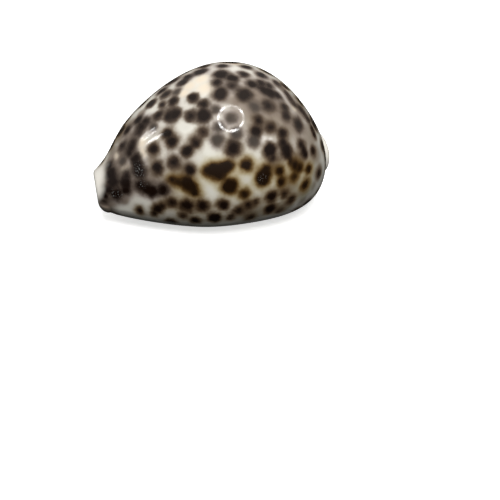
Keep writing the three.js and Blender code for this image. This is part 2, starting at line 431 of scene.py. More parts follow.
# %% Soften the crease
CREASE_ROUNDS = 110
CREASE_PULL = 0.5
EVERY_AXIS = {"use_axis_x": True, "use_axis_y": True, "use_axis_z": True}

for _ in range(CREASE_ROUNDS):
    bmesh.ops.smooth_vert(shell_mesh, verts=crease, factor=CREASE_PULL, **EVERY_AXIS)
print("vertices in the crease:", len(crease))

# %% [markdown]
# ## A grown surface
# A polished shell is smooth but not perfect: it grew in layers, so a reflection in it wobbles a little. Two
# sizes of very shallow noise move the outside along its normals by a few hundredths of a millimetre.

# %% Shallow waves
WAVES = ((0.000060, 1 / 0.015), (0.000012, 1 / 0.005))  # height, and how many to the metre
FULL_WAVES = 0.002  # the waves fade out below this height


def add_waves(mesh):
    mesh.normal_update()
    inside = mesh.verts.layers.float["inside"]
    for vert in mesh.verts:
        lift = sum(height * noise.noise(vert.co * count) for height, count in WAVES)
        clear_of_floor = min(vert.co.z / FULL_WAVES, 1)
        vert.co += vert.normal * lift * (1 - vert[inside]) * clear_of_floor
    mesh.normal_update()


add_waves(shell_mesh)
shell_tree = BVHTree.FromBMesh(shell_mesh)
print("highest point, mm:", round(max(vert.co.z for vert in shell_mesh.verts) / MM, 2))

# %% The shell as an object
def make_object(name, mesh):
    data = bpy.data.meshes.new(name)
    mesh.to_mesh(data)
    made = bpy.data.objects.new(name, data)
    scene.collection.objects.link(made)
    return made


shell = make_object("spotted_shell", shell_mesh)
shell.data.shade_smooth()
print("vertices:", len(shell.data.vertices))

# %% [markdown]
# ## Spots seen in the photograph
# No two cowries have the same spots, so those on the side that faces the camera are placed one by one. Each
# is given as a pixel and a radius, and a ray from the camera finds where that pixel meets the shell.
# Rows of spots share three traits: milk makes a spot paler, as if seen through the glaze, and in the veiled
# row it is partly a painted reflection of the lamps; warmth gives it an amber rim, and spread says how far
# its brown haze reaches.

# %% Read the spots
SPOT_ROWS = {
    # name: (milk and painted reflection, warmth, spread, [(pixel across, pixel down, radius in millimetres),
    # ...])
    "crest": (0.05, 0.0, 1.1, [
        (222, 65.8, 1.7), (220.8, 74.1, 2.4), (216.6, 82.8, 1.7), (231.9, 78.2, 1.9), (231.9, 85.7, 1.5),
        (243.6, 74.5, 1.6), (246.5, 67, 1.6), (261.4, 74.9, 2.0), (199.8, 71.8, 2.3), (187.8, 76.8, 1.6),
        (182.8, 82, 1.8), (251.4, 84, 1.8), (261.4, 83.4, 1.7), (268.8, 85.2, 1.5), (263, 89.8, 1.7),
        (271.3, 93.1, 2.2), (277, 95.6, 1.6), (277.1, 83.6, 1.4), (161.8, 90.8, 1.5),
    ]),
    "left_shoulder": (0.05, 0.1, 0.65, [
        (165.8, 94.4, 1.8), (151.3, 103.5, 1.9), (162.1, 104.8, 1.2), (173.7, 101, 1.8),
        (192.8, 97.7, 1.95), (203.6, 103.9, 1.65), (168.5, 116.3, 2.0), (174.5, 114.6, 2.3),
        (191.1, 115.5, 2.0), (203.6, 116, 2.6), (158, 115.5, 1.7),
    ]),
    "right_shoulder": (0.10, 0.1, 1.3, [
        (220.3, 94, 2.5), (244.4, 94.8, 2.8), (268.8, 106.4, 2.3), (287, 93.5, 1.2), (290.5, 99, 1.6),
        (294, 104, 1.1), (284.6, 107.2, 1.6), (285.8, 116.4, 1.75), (298.3, 124.2, 2.5), (300.5, 109, 1.2),
        (304, 113.5, 1.5), (308, 119, 1.3),
    ]),
    # The milk of these veiled spots is partly a painted reflection of the lamps.
    "veiled": (0.5, 0.0, 1.0, [
        (230.4, 117.8, 1.4), (218.3, 127.1, 1.5), (215.8, 109.5, 1.2), (217.4, 140, 1.7), (236.1, 133, 1.5),
        (254.8, 107.2, 1.55), (253.9, 141.6, 1.6), (153.5, 127, 1.1), (176.6, 91.5, 1.2),
        (122.7, 160.7, 1.4),
    ]),
    "flank": (0.0, 0.25, 1.0, [
        (258, 120.5, 1.85), (256, 130.9, 1.85), (270.5, 127.1, 1.95), (282.5, 133.4, 1.8),
        (269.3, 150.3, 2.3), (273, 158.2, 1.3), (283.5, 143, 1.5), (286, 149.5, 2.2), (287.5, 155, 1.6),
        (301, 144.5, 1.3), (303.5, 150, 1.5), (305, 154.5, 1.2), (312.8, 150.8, 1.6), (233.2, 148.3, 2.6),
        (203.2, 131.7, 1.55), (195.3, 142.3, 1.8), (187, 151.2, 1.85), (167.9, 133.5, 1.9),
        (172, 141.6, 2.0), (153, 149.5, 2.0), (157.1, 168.2, 2.05), (174.1, 162.8, 2.1),
        (189.9, 169.4, 1.7), (312, 128.5, 1.1), (314.3, 135, 1.2), (319, 173.1, 1.5),
    ]),
    "amber": (0.0, 1.0, 1.3, [
        (206.5, 170.5, 1.4), (211.5, 170.5, 1.9), (217, 171.5, 2.4), (223.5, 168.5, 2.1),
        (228.5, 166.5, 1.6), (219, 176, 1.7), (246.5, 164.9, 2.0), (266.3, 168.5, 1.4), (264.8, 174.5, 2.3),
        (263.3, 179.5, 2.6), (279.6, 170.7, 1.65), (281.3, 182, 1.5), (290.5, 161.5, 1.1),
        (295, 165.5, 1.7), (300, 167.5, 1.5), (294.6, 176.5, 1.65), (308.6, 168.6, 1.6),
        (305.3, 184.7, 1.9), (229.9, 186.4, 2.7), (244, 193.9, 1.7), (172, 179.8, 1.5), (178.5, 182, 1.6),
        (186.5, 183, 2.4), (191, 186.5, 2.1), (194.5, 192, 1.6),
    ]),
    "front": (0.0, 0.0, 1.0, [
        (138, 119.7, 1.6), (145, 121, 1.7), (141.5, 126.5, 1.9), (138.8, 132, 1.6), (127.3, 130.5, 1.6),
        (122.7, 146.6, 1.7), (133.3, 142.5, 1.4), (131.5, 148, 1.9), (129.5, 153, 1.4), (135.3, 158.5, 1.9),
        (137, 164.5, 1.8), (139, 171.5, 2.5), (139.8, 184.8, 1.9), (145.5, 188, 2.4), (151.5, 191.5, 2.0),
        (163.4, 188.9, 2.2),
    ]),
    "band": (0.0, 0.0, 1.6, [
        (126.5, 176, 1.7), (125.8, 183, 2.2), (125.5, 190, 1.6), (109.5, 165.5, 1.6), (111, 173.5, 2.3),
        (112.5, 182, 2.4), (116.5, 194, 2.2), (109, 189.5, 1.9), (105.5, 196, 1.4), (104, 201, 0.9),
    ]),
    "margin": (0.0, 0.5, 1.1, [
        (171.2, 202.2, 1.8), (158, 209, 1.4), (162.2, 205.3, 1.1), (154.7, 213.8, 0.9), (139.7, 210.5, 1.2),
        (187, 205.5, 2.5), (202.7, 206.3, 2.0), (223.2, 204.7, 2.0), (239, 210, 1.8), (248.1, 205.5, 1.5),
        (255.6, 201.3, 0.8), (271.3, 196.4, 2.1), (284.6, 193.9, 1.5), (291.2, 199.7, 1.6),
        (270.5, 208.8, 2.3), (279.6, 210.5, 1.0), (214.1, 217.9, 2.3), (230.7, 217.1, 1.2), (251, 217, 1.5),
        (195.3, 220.5, 1.5), (171.2, 221.5, 1.6), (182.8, 215.8, 1.0),
    ]),
}


def hit_from_camera(pixel):
    """Where a pixel's ray meets the shell, or None, and the number of the face that it meets."""
    ray = camera.rotation_quaternion @ pixel_ray(pixel)
    place, _, face, _ = shell_tree.ray_cast(camera.location, ray)
    return place, face


def cast_spots():
    spots, missed = [], []
    for row, (*traits, marks) in SPOT_ROWS.items():
        for across, down, radius in marks:
            place, _ = hit_from_camera((across, down))
            if place is None:
                missed.append((row, across, down))
            else:
                spots.append((place, radius * MM, *traits))
    return spots, missed


spots, missed = cast_spots()
print("spots placed:", len(spots), "missed:", missed)

# %% [markdown]
# ## Spots on the sides that the photograph doesn't show
# The far side is covered in the same way. Points on the hidden surface are drawn in a seeded order, and each
# takes a spot if it stays clear of its neighbours. Spots grow small and scarce towards the base, which stays
# bare, as on the side that is seen.

# %% Scatter the hidden spots
SPOT_SEED = 7
SPOT_TRIES = 1200
SPOT_RADII = (0.0013, 0.0026)
SPOT_GAPS = (-0.0006, 0.0032)
SEEN_SLOPE = 0.20  # how far a surface still faces the camera at the edge of what the photograph shows
LOWEST_SPOT = 0.005
FULL_SPOT = 0.014
LOW_SPOT_SHARE = 0.6  # a spot near the base is this much of its full size
LOW_SPOT_GAP = 0.0012
HIDDEN_MILK = (0.0, 0.25)
HIDDEN_WARMTH = (0.0, 0.5)
HIDDEN_SPREAD = 1.2
BARE_TIPS = (0.0035, 0.0030)  # at the front and the back


def hidden_points():
    """Places on the outside that the camera can't see, and where spots may be."""
    inside = shell_mesh.verts.layers.float["inside"]
    low_x, high_x = solid_low.x + BARE_TIPS[0], solid_high.x - BARE_TIPS[1]
    return [
        vert.co.copy()
        for vert in shell_mesh.verts
        if vert[inside] == 0
        and vert.co.z > LOWEST_SPOT
        and low_x < vert.co.x < high_x
        and vert.normal.dot((camera.location - vert.co).normalized()) < SEEN_SLOPE
    ]


def scatter_spots(places):
    chance = np.random.default_rng(SPOT_SEED)
    taken = [(np.array(place), radius) for place, radius, *_ in spots]
    added = []
    for index in chance.permutation(len(places))[:SPOT_TRIES]:
        place = places[index]
        low = smooth_step(place.z, LOWEST_SPOT, FULL_SPOT)
        radius = chance.uniform(*SPOT_RADII) * (LOW_SPOT_SHARE + (1 - LOW_SPOT_SHARE) * low)
        gap = chance.uniform(*SPOT_GAPS) + LOW_SPOT_GAP * (1 - low)
        centres = np.array([centre for centre, _ in taken])
        reach = np.array([other for _, other in taken]) + radius + gap
        if (np.linalg.norm(centres - np.array(place), axis=1) > reach).all():
            taken.append((np.array(place), radius))
            milk_and_reflection, warmth = chance.uniform(*HIDDEN_MILK), chance.uniform(*HIDDEN_WARMTH)
            added.append((place, radius, milk_and_reflection, warmth, HIDDEN_SPREAD))
    return added


seen_spots = len(spots)
spots += scatter_spots(hidden_points())
print("hidden spots:", len(spots) - seen_spots)

# %% [markdown]
# ## From spots to the surface
# The material needs to know how far each point is from the edge of the nearest spot. That distance is worked
# out here and kept on the vertices as an attribute. It changes evenly from one vertex to the next, so the
# material can draw an edge finer than the mesh. Spots that touch run together, as blots do.

# %% Attributes on the vertices
def set_attribute(name, values):
    layer = shell.data.attributes.new(name, "FLOAT", "POINT")
    layer.data.foreach_set("value", values.astype(np.float32))


def read_attribute(name):
    values = np.zeros(len(shell.data.vertices), np.float32)
    shell.data.attributes[name].data.foreach_get("value", values)
    return values


def read_vectors(name):
    """A row for each vertex, of its place (co) or its normal."""
    vectors = np.zeros(len(shell.data.vertices) * 3, np.float32)
    shell.data.vertices.foreach_get(name, vectors)
    return vectors.reshape(-1, 3).astype(float)


places = read_vectors("co")
inside = read_attribute("inside")
print("vertices on the outside:", int((inside == 0).sum()))

# %% Distance from the spots
SPOT_JOIN = 0.00060
TRAIT_REACH = 0.0009
TRAITS = ("milk_and_reflection", "warmth", "spread")
FAR_FROM_SPOTS = 9.0  # millimetres, for the inside
NEXT_TO_NOTHING = 1e-12
JOIN_LIMIT, NEAR_LIMIT = 50, 30  # so that no power grows too large


def spot_fields():
    """Each vertex's distance from a spot's edge, and a column for each trait of the spots nearby."""
    joined = np.full(len(places), NEXT_TO_NOTHING)
    weight = np.full(len(places), NEXT_TO_NOTHING)
    traits = np.zeros((len(places), len(TRAITS)))
    for centre, radius, *own in spots:
        edge = np.linalg.norm(places - np.array(centre), axis=1) - radius
        joined += np.exp(np.clip(-edge / SPOT_JOIN, -JOIN_LIMIT, JOIN_LIMIT))
        near = np.exp(np.clip(-edge / TRAIT_REACH, -NEAR_LIMIT, NEAR_LIMIT))
        weight += near
        traits += near[:, None] * np.array(own)
    return -SPOT_JOIN * np.log(joined), traits / weight[:, None]


edge, traits = spot_fields()
set_attribute("spot_edge", np.minimum(edge / MM, FAR_FROM_SPOTS) + FAR_FROM_SPOTS * inside)
for name, values in zip(TRAITS, traits.T):
    set_attribute("spot_" + name, values)
print("share of the outside under spots:", round(float((edge[inside == 0] < 0).mean()), 2))

# %% [markdown]
# ## Patches between the spots
# Between the spots the glaze is cream in a few places and hazy brown in many. Some brown marks are painted
# shade: at the right edge, on the lower front and at the foot of the front tip. A few clusters of fine pale
# specks on the front are painted glints. Such patches have no edge, so each is a mark that fades out, listed
# like the spots. On the hidden side a broad noise gives the haze instead.

# %% Cream, haze with painted shade, and painted glints
# Each mark is a pixel across, a pixel down and a radius in millimetres.
CREAM_MARKS = (
    (201, 79, 2.6), (204.5, 88, 2.6), (189, 86, 2.4), (184, 93, 1.8), (141.5, 142.5, 2.0),
    (142.2, 152.4, 1.8), (116.5, 155.7, 1.3), (125, 170, 1.6), (235, 63.8, 1.8), (294, 108, 1.2),
)
# Most of these are the shell's brown haze. Those at the right edge, such as (316, 155, 4.5), on the lower
# front at (124, 200, 1.8) and at the foot of the front tip at (107, 204, 3) are painted shade.
HAZE_AND_SHADE_MARKS = (
    (248, 112, 6), (262, 98, 6), (275, 112, 7), (290, 125, 6), (300, 110, 5), (309, 135, 5),
    (316, 155, 4.5), (318, 172, 4), (300, 157, 3.5), (290, 186, 4.5), (305, 190, 5), (236, 104, 3),
    (130, 140, 4), (118, 156, 4), (120, 172, 3), (313, 186, 2.5), (303, 199, 2.5), (152, 160, 2),
    (150, 178, 4), (180, 172, 4), (250, 212, 5), (286, 206, 3.5), (276, 164, 3), (113, 151, 3),
    (120, 138, 3), (130, 124, 3), (141, 113, 2), (281, 87, 2.5), (296, 99, 2), (107, 204, 3),
    (124, 200, 1.8),
)
# These marks place painted glints: fine pale specks that stand for tiny mirrored lights.
GLINT_MARKS = ((138.5, 170, 2.2), (116.5, 195.5, 2.0), (142.5, 183.5, 1.3), (262, 178, 1.3))
MARK_FADE = (0.2, 1.7)  # radii at which a mark starts to fade and is gone
HIDDEN_HAZE = 0.6
HAZE_PATCHES = 60.0  # to the metre
HAZE_PATCH_FADE = (0.0, 0.35)
HIDDEN_SLOPE = (-0.1, 0.2)  # how far a surface faces the camera, from hidden to seen


def patch_field(marks):
    """1 in the middle of each mark, and 0 away from them all."""
    field = np.zeros(len(places))
    for across, down, radius in marks:
        middle, _ = hit_from_camera((across, down))
        away = np.linalg.norm(places - np.array(middle), axis=1) / (radius * MM)
        field = np.maximum(field, 1 - smooth_step(away, *MARK_FADE))
    return field


def hidden_share():
    """0 on the side that the photograph shows, and 1 on the far side."""
    sight = np.array(camera.location) - places
    sight /= np.linalg.norm(sight, axis=1)[:, None]
    return 1 - smooth_step((read_vectors("normal") * sight).sum(axis=1), *HIDDEN_SLOPE)


cloudy = np.array([noise.noise(HAZE_PATCHES * Vector(place)) for place in places])
hidden_haze = HIDDEN_HAZE * smooth_step(cloudy, *HAZE_PATCH_FADE) * hidden_share()
set_attribute("haze_and_shade", np.maximum(patch_field(HAZE_AND_SHADE_MARKS), hidden_haze))
set_attribute("cream", patch_field(CREAM_MARKS))
set_attribute("painted_glints", patch_field(GLINT_MARKS))
print("mean haze on the outside:", round(float(read_attribute("haze_and_shade")[inside == 0].mean()), 2))

# %% [markdown]
# ## Helpers for materials
# A material is a tree of nodes. These few helpers add a node, join its sockets and fill in plain values, so
# that each finish below reads as a recipe.

# %% Node helpers
NOISE_MIDDLE = 0.5


def plug(tree, socket, value):
    """Gives a socket a plain value, or a link from another socket."""
    if isinstance(value, bpy.types.NodeSocket):
        tree.links.new(value, socket)
    elif isinstance(value, tuple) and len(value) == 3 and socket.type == "RGBA":
        socket.default_value = (*value, 1)
    else:
        socket.default_value = value


def attribute(tree, name):
    node = tree.nodes.new("ShaderNodeAttribute")
    node.attribute_name = name
    return node.outputs["Fac"]


def object_place(tree):
    return tree.nodes.new("ShaderNodeTexCoord").outputs["Object"]


def noise_value(tree, place, scale, detail=2.0, roughness=0.5):
    node = tree.nodes.new("ShaderNodeTexNoise")
    plug(tree, node.inputs["Vector"], place)
    plug(tree, node.inputs["Scale"], scale)
    plug(tree, node.inputs["Detail"], detail)
    plug(tree, node.inputs["Roughness"], roughness)
    return node.outputs["Fac"]


def math_of(tree, operation, first, second=0.0):
    node = tree.nodes.new("ShaderNodeMath")
    node.operation = operation
    plug(tree, node.inputs[0], first)
    plug(tree, node.inputs[1], second)
    return node.outputs[0]


def wobble(tree, place, scale, size):
    """Noise on both sides of zero, which reaches about half of size."""
    centred = math_of(tree, "SUBTRACT", noise_value(tree, place, scale), NOISE_MIDDLE)
    return math_of(tree, "MULTIPLY", centred, size)


def ramp(tree, value, start, end, low=0.0, high=1.0):
    """A soft step from low at start to high at end."""
    node = tree.nodes.new("ShaderNodeMapRange")
    node.interpolation_type = "SMOOTHSTEP"
    names = ("Value", "From Min", "From Max", "To Min", "To Max")
    for name, number in zip(names, (value, start, end, low, high)):
        plug(tree, node.inputs[name], number)
    return node.outputs["Result"]


def blend(tree, share, first, second):
    """A colour that goes from the first to the second as share goes from 0 to 1."""
    node = tree.nodes.new("ShaderNodeMix")
    node.data_type = "RGBA"
    plug(tree, node.inputs["Factor"], share)
    plug(tree, node.inputs["A"], first)
    plug(tree, node.inputs["B"], second)
    return node.outputs["Result"]


def new_material(name):
    material = bpy.data.materials.new(name)
    material.use_nodes = True
    tree = material.node_tree
    return material, tree, tree.nodes["Principled BSDF"]


print("node helpers are ready")

# %% [markdown]
# ## The glossy shell
# The colours are laid over one another, as the animal laid them down: an off-white ground with faint clouds,
# a veil of lilac, brown or olive round the spots, then the spots. The base, the teeth, the two tips and the
# hollow are white. Each cell adds a layer to one node tree. A painted image would be quicker, but it would
# show its pixels up close.

# %% Ground
GROUND_WHITE = (0.76, 0.74, 0.66)
GROUND_SHADE = (0.64, 0.61, 0.55)
CLOUDS = 70.0  # to the metre
CLOUD_FADE = (0.40, 0.70)

shell_material, shell_nodes, shell_shader = new_material("glossy_shell")
shell_place = object_place(shell_nodes)


def ground_colour(tree, place):
    clouds = ramp(tree, noise_value(tree, place, CLOUDS, detail=3.0), *CLOUD_FADE)
    return blend(tree, clouds, GROUND_WHITE, GROUND_SHADE)


shell_colour = ground_colour(shell_nodes, shell_place)
print("nodes with the ground:", len(shell_nodes.nodes))

# %% [markdown]
# ## Veil, haze and painted shade
# The veil fades with the distance from a spot's edge. Two sizes of noise make that distance wobble, so no
# spot is a plain disc. In hazy places the distance is pressed together, which makes the spots softer.
# Patches of haze, some of them painted shade, and of cream then cover the veil.

# %% Veil, haze and painted shade
VEIL_LILAC = (0.42, 0.365, 0.34)
VEIL_BROWN = (0.29, 0.232, 0.185)
VEIL_OLIVE = (0.50, 0.44, 0.265)
HAZE_AND_SHADE_BROWN = (0.235, 0.183, 0.14)
HAZE_AND_SHADE_OLIVE = (0.23, 0.21, 0.14)
CREAM = (0.77, 0.67, 0.53)
VEIL_PATCHES = 45.0  # to the metre
VEIL_PATCH_FADE = (0.40, 0.60)
VEIL_REACH = (2.6, 0.3)  # millimetres from a spot's edge
VEIL_STRENGTH, HAZE_AND_SHADE_STRENGTH, CREAM_STRENGTH = 0.9, 0.85, 0.9
EDGE_BROAD = (280.0, 2.0)  # waves to the metre, and their size in millimetres
EDGE_FINE = (1100.0, 0.2)
HAZE_PRESS = 0.72


def wobbly_edge(tree, place):
    """Distance from a spot's edge in millimetres, made a little ragged, and softer in the haze."""
    ragged = math_of(tree, "ADD", wobble(tree, place, *EDGE_BROAD), wobble(tree, place, *EDGE_FINE))
    distance = math_of(tree, "ADD", attribute(tree, "spot_edge"), ragged)
    press = ramp(tree, attribute(tree, "haze_and_shade"), 0.0, 1.0, 1.0, HAZE_PRESS)
    return math_of(tree, "MULTIPLY", distance, press)


def veil_colour(tree, place):
    patches = ramp(tree, noise_value(tree, place, VEIL_PATCHES), *VEIL_PATCH_FADE)
    cold = blend(tree, patches, VEIL_LILAC, VEIL_BROWN)
    return blend(tree, attribute(tree, "spot_warmth"), cold, VEIL_OLIVE)


def veiled(tree, place, reach, colour):
    """A veil round the spots, then the patches of haze, partly painted shade, and of cream."""
    veil = ramp(tree, reach, *VEIL_REACH, 0.0, VEIL_STRENGTH)
    colour = blend(tree, veil, colour, veil_colour(tree, place))
    haze_and_shade_tone = blend(tree, attribute(tree, "spot_warmth"), HAZE_AND_SHADE_BROWN, HAZE_AND_SHADE_OLIVE)
    # The haze marks at the right edge, the lower front and the foot of the front tip are painted shade.
    haze_and_shade = math_of(tree, "MULTIPLY", attribute(tree, "haze_and_shade"), HAZE_AND_SHADE_STRENGTH)
    cream = math_of(tree, "MULTIPLY", attribute(tree, "cream"), CREAM_STRENGTH)
    return blend(tree, cream, blend(tree, haze_and_shade, colour, haze_and_shade_tone), CREAM)


spot_edge = wobbly_edge(shell_nodes, shell_place)
spot_reach = math_of(shell_nodes, "DIVIDE", spot_edge, attribute(shell_nodes, "spot_spread"))
shell_colour = veiled(shell_nodes, shell_place, spot_reach, shell_colour)
print("nodes with the veil:", len(shell_nodes.nodes))

# %% [markdown]
# ## The spots
# Each spot is nearly black in the middle and brown at its edge, in a grey or amber halo. The dark middle is
# smoky: a noise moves its border about, so it never fills the spot evenly. Milk makes the whole spot paler,
# and in the veiled row it is partly a painted reflection.

# %% Spots
HALO_BROWN = (0.135, 0.104, 0.082)
HALO_AMBER = (0.22, 0.115, 0.022)
SPOT_CORE = (0.008, 0.0035, 0.002)
SPOT_BROWN = (0.052, 0.036, 0.027)
SPOT_AMBER = (0.068, 0.034, 0.009)
SPOT_MILK_AND_REFLECTION = (0.11, 0.092, 0.076)
HALO_REACH, CORE_REACH, SPOT_REACH = (1.7, -0.4), (0.3, -1.3), (1.1, -0.6)  # millimetres from the edge
HALO_STRENGTH = 0.9
SMOKE = (200.0, 2.0)  # waves to the metre, and their size in millimetres
WARM_RANGE = (0.3, 1.0)
WARM_CORE = 0.90  # the strength of the dark middle in an amber spot


def spotted(tree, place, edge, reach, colour):
    """A halo, and then the spot itself, darkest in its middle."""
    warmth = attribute(tree, "spot_warmth")
    halo = ramp(tree, reach, *HALO_REACH, 0.0, HALO_STRENGTH)
    colour = blend(tree, halo, colour, blend(tree, warmth, HALO_BROWN, HALO_AMBER))
    deep = ramp(tree, math_of(tree, "ADD", edge, wobble(tree, place, *SMOKE)), *CORE_REACH)
    deep = math_of(tree, "MULTIPLY", deep, ramp(tree, warmth, *WARM_RANGE, 1.0, WARM_CORE))
    core = blend(tree, deep, blend(tree, warmth, SPOT_BROWN, SPOT_AMBER), SPOT_CORE)
    # Milk pales the spot; in the veiled row this is partly a painted reflection.
    core = blend(tree, attribute(tree, "spot_milk_and_reflection"), core, SPOT_MILK_AND_REFLECTION)
    return blend(tree, ramp(tree, edge, *SPOT_REACH), colour, core)


shell_colour = spotted(shell_nodes, shell_place, spot_edge, spot_reach, shell_colour)
print("nodes with the spots:", len(shell_nodes.nodes))

# %% [markdown]
# ## Painted glints, white and gloss
# Painted glints show as fine pale specks. The white of the base ends in an uneven line a few millimetres up,
# and at the front it ends along a slanting plane. The grooves between the teeth are painted a little darker,
# most where they are deepest. A clear glaze lies over everything, so the roughness is low and only just
# uneven.

# %% Painted glints and white
GLINT_GREY = (0.34, 0.35, 0.34)
GLINT_SPECKS = 2300.0  # to the metre
GLINT_FADE = (0.58, 0.72)
GLINT_STRENGTH = 0.6
WHITE_CALLUS = (0.78, 0.75, 0.68)
GROOVE_SHADE = (0.60, 0.50, 0.38)
GROOVE_DARKENING = 0.6
HOLLOW_WHITE = (0.70, 0.66, 0.66)
WHITE_WOBBLE = (120.0, 0.003)  # waves to the metre, and their size
WHITE_BASE = (0.0062, 0.0030)  # heights at which the base starts to be white and is all white
WHITE_SLANT = 0.4
WHITE_FRONT = (solid_low.x - 0.0030, solid_low.x - 0.0056)
WHITE_BACK = (solid_high.x - 0.0042, solid_high.x - 0.0024)


def glinted(tree, place, colour):
    """Fine pale specks: painted glints."""
    specks = ramp(tree, noise_value(tree, place, GLINT_SPECKS, detail=1.0), *GLINT_FADE, 0.0, GLINT_STRENGTH)
    return blend(tree, math_of(tree, "MULTIPLY", specks, attribute(tree, "painted_glints")), colour, GLINT_GREY)


def whitened(tree, place, colour):
    """White over the base and at the two tips, and the hollow's own white inside."""
    parts = tree.nodes.new("ShaderNodeSeparateXYZ")
    plug(tree, parts.inputs[0], place)
    uneven = wobble(tree, place, *WHITE_WOBBLE)
    low = ramp(tree, math_of(tree, "ADD", parts.outputs["Z"], uneven), *WHITE_BASE)
    forward = math_of(tree, "ADD", parts.outputs["X"], uneven)
    height = math_of(tree, "MULTIPLY", parts.outputs["Z"], WHITE_SLANT)
    front = ramp(tree, math_of(tree, "SUBTRACT", forward, height), *WHITE_FRONT)
    tips = math_of(tree, "MAXIMUM", front, ramp(tree, forward, *WHITE_BACK))
    colour = blend(tree, math_of(tree, "MAXIMUM", low, tips), colour, WHITE_CALLUS)
    # Darker in the grooves between the teeth, most where they are cut deepest.
    groove_darkening = math_of(tree, "MULTIPLY", attribute(tree, "groove"), GROOVE_DARKENING)
    colour = blend(tree, groove_darkening, colour, GROOVE_SHADE)
    return blend(tree, attribute(tree, "inside"), colour, HOLLOW_WHITE)


# Painted glints: pale specks on the front.
shell_colour = glinted(shell_nodes, shell_place, shell_colour)
shell_colour = whitened(shell_nodes, shell_place, shell_colour)
print("nodes with the white:", len(shell_nodes.nodes))

# %% Gloss
GLOSS_PATCHES = 90.0  # to the metre
GLOSS_FADE = (0.3, 0.7)
GLOSS_ROUGHNESS = (0.05, 0.09)
GLAZE_IOR = 1.53

gloss_noise = noise_value(shell_nodes, shell_place, GLOSS_PATCHES, detail=4.0)
shell_gloss = ramp(shell_nodes, gloss_noise, *GLOSS_FADE, *GLOSS_ROUGHNESS)
plug(shell_nodes, shell_shader.inputs["Base Color"], shell_colour)
plug(shell_nodes, shell_shader.inputs["Roughness"], shell_gloss)
shell_shader.inputs["IOR"].default_value = GLAZE_IOR
shell.data.materials.append(shell_material)
print("nodes in the shell's material:", len(shell_nodes.nodes))

# %% [markdown]
# ## Floor
# The shell lies on a plain pale floor. It gives a soft shadow to rest on.

# %% Floor
FLOOR_HALF = 6.0
FLOOR_TONE = (0.86, 0.86, 0.85)
FLOOR_SHADE = (0.80, 0.80, 0.79)
FLOOR_MOTTLE = 6.0  # to the metre
FLOOR_ROUGHNESS = 0.7
FLOOR_GLOW = 0.70  # lifts the floor to the white of a light table


def make_floor():
    mesh = bmesh.new()
    bmesh.ops.create_grid(mesh, x_segments=1, y_segments=1, size=FLOOR_HALF)
    made = make_object("floor", mesh)
    mesh.free()
    material, tree, shader = new_material("pale_floor")
    mottle = noise_value(tree, object_place(tree), FLOOR_MOTTLE, detail=3.0)
    plug(tree, shader.inputs["Base Color"], blend(tree, mottle, FLOOR_TONE, FLOOR_SHADE))
    shader.inputs["Roughness"].default_value = FLOOR_ROUGHNESS
    shader.inputs["Emission Color"].default_value = (*FLOOR_TONE, 1)
    shader.inputs["Emission Strength"].default_value = FLOOR_GLOW
    made.data.materials.append(material)
    return made


floor = make_floor()
floor.visible_diffuse = False
floor.visible_glossy = False
print("floor, m:", 2 * FLOOR_HALF)

# %% [markdown]
# ## Light
# The photograph shows where its lights were: a ring is mirrored on the shoulder, and two bright bars near
# the front. A mirror sends a ray off at the angle at which it came, so each lamp is drawn as its highlight,
# in pixels, and every point of the drawing is sent back through the mirror to where the lamp has to hang. A
# sky that is dark at the horizon darkens the shell's edges, as in the photograph.

# %% Sky
SKY_STEPS = ((-0.10, 0.01), (0.0, 0.05), (0.35, 0.18), (1.0, 0.26))  # height of a direction, brightness
SKY_TINT = (1.0, 0.99, 0.97, 1)


def make_sky():
    world = bpy.data.worlds.new("sky")
    world.use_nodes = True
    scene.world = world
    tree = world.node_tree
    direction = tree.nodes.new("ShaderNodeSeparateXYZ")
    plug(tree, direction.inputs[0], tree.nodes.new("ShaderNodeTexCoord").outputs["Generated"])
    brightness = SKY_STEPS[0][1]
    for (start, low), (end, high) in zip(SKY_STEPS, SKY_STEPS[1:]):
        step = ramp(tree, direction.outputs["Z"], start, end, 0.0, high - low)
        brightness = math_of(tree, "ADD", step, brightness)
    plug(tree, tree.nodes["Background"].inputs["Strength"], brightness)
    tree.nodes["Background"].inputs["Color"].default_value = SKY_TINT


make_sky()
scene.view_settings.view_transform = "Standard"
print("sky from", SKY_STEPS[0][1], "below to", SKY_STEPS[-1][1], "overhead")

# %% A mirror traced backwards
def mirrored(pixel):
    """Where the shell's mirror looks to at a pixel: a starting place and a direction."""
    place, number = hit_from_camera(pixel)
    normal = Vector()
    for vert in shell_mesh.faces[number].verts:
        normal += vert.normal / max((vert.co - place).length, SEAM)
    normal.normalize()
    to_camera = (camera.location - place).normalized()
    return place, (2 * normal.dot(to_camera) * normal - to_camera).normalized()


shell_mesh.faces.ensure_lookup_table()
_, seen_in_middle = mirrored(AIM_PIXEL)
print("the middle mirrors what lies towards", [round(side, 2) for side in seen_in_middle])

# %% [markdown]
# ## A patchy glow
# A ring of many small lights is brighter in some places than in others, and so are the bars. All the lamps
# share this effect, so it is a node group, made once and placed in each lamp's material.

# %% Glow group
GLOW_PATCHES = 22.0  # to the metre
GLOW_FADE = (0.42, 0.62)


def make_patchy_glow():
    group = bpy.data.node_groups.new("patchy_glow", "ShaderNodeTree")
    group.interface.new_socket("Least", in_out="INPUT", socket_type="NodeSocketFloat")
    group.interface.new_socket("Glow", in_out="OUTPUT", socket_type="NodeSocketFloat")
    least = group.nodes.new("NodeGroupInput").outputs["Least"]
    result = group.nodes.new("NodeGroupOutput")
    patches = noise_value(group, object_place(group), GLOW_PATCHES, detail=3.0, roughness=0.7)
    plug(group, result.inputs["Glow"], ramp(group, patches, *GLOW_FADE, least, 1.0))
    return group


patchy_glow = make_patchy_glow()
print("nodes in the glow group:", len(patchy_glow.nodes))

# %% Lamps that only reflections show
LAMP_DISTANCE = 0.45
GLOW_LEAST = 0.12


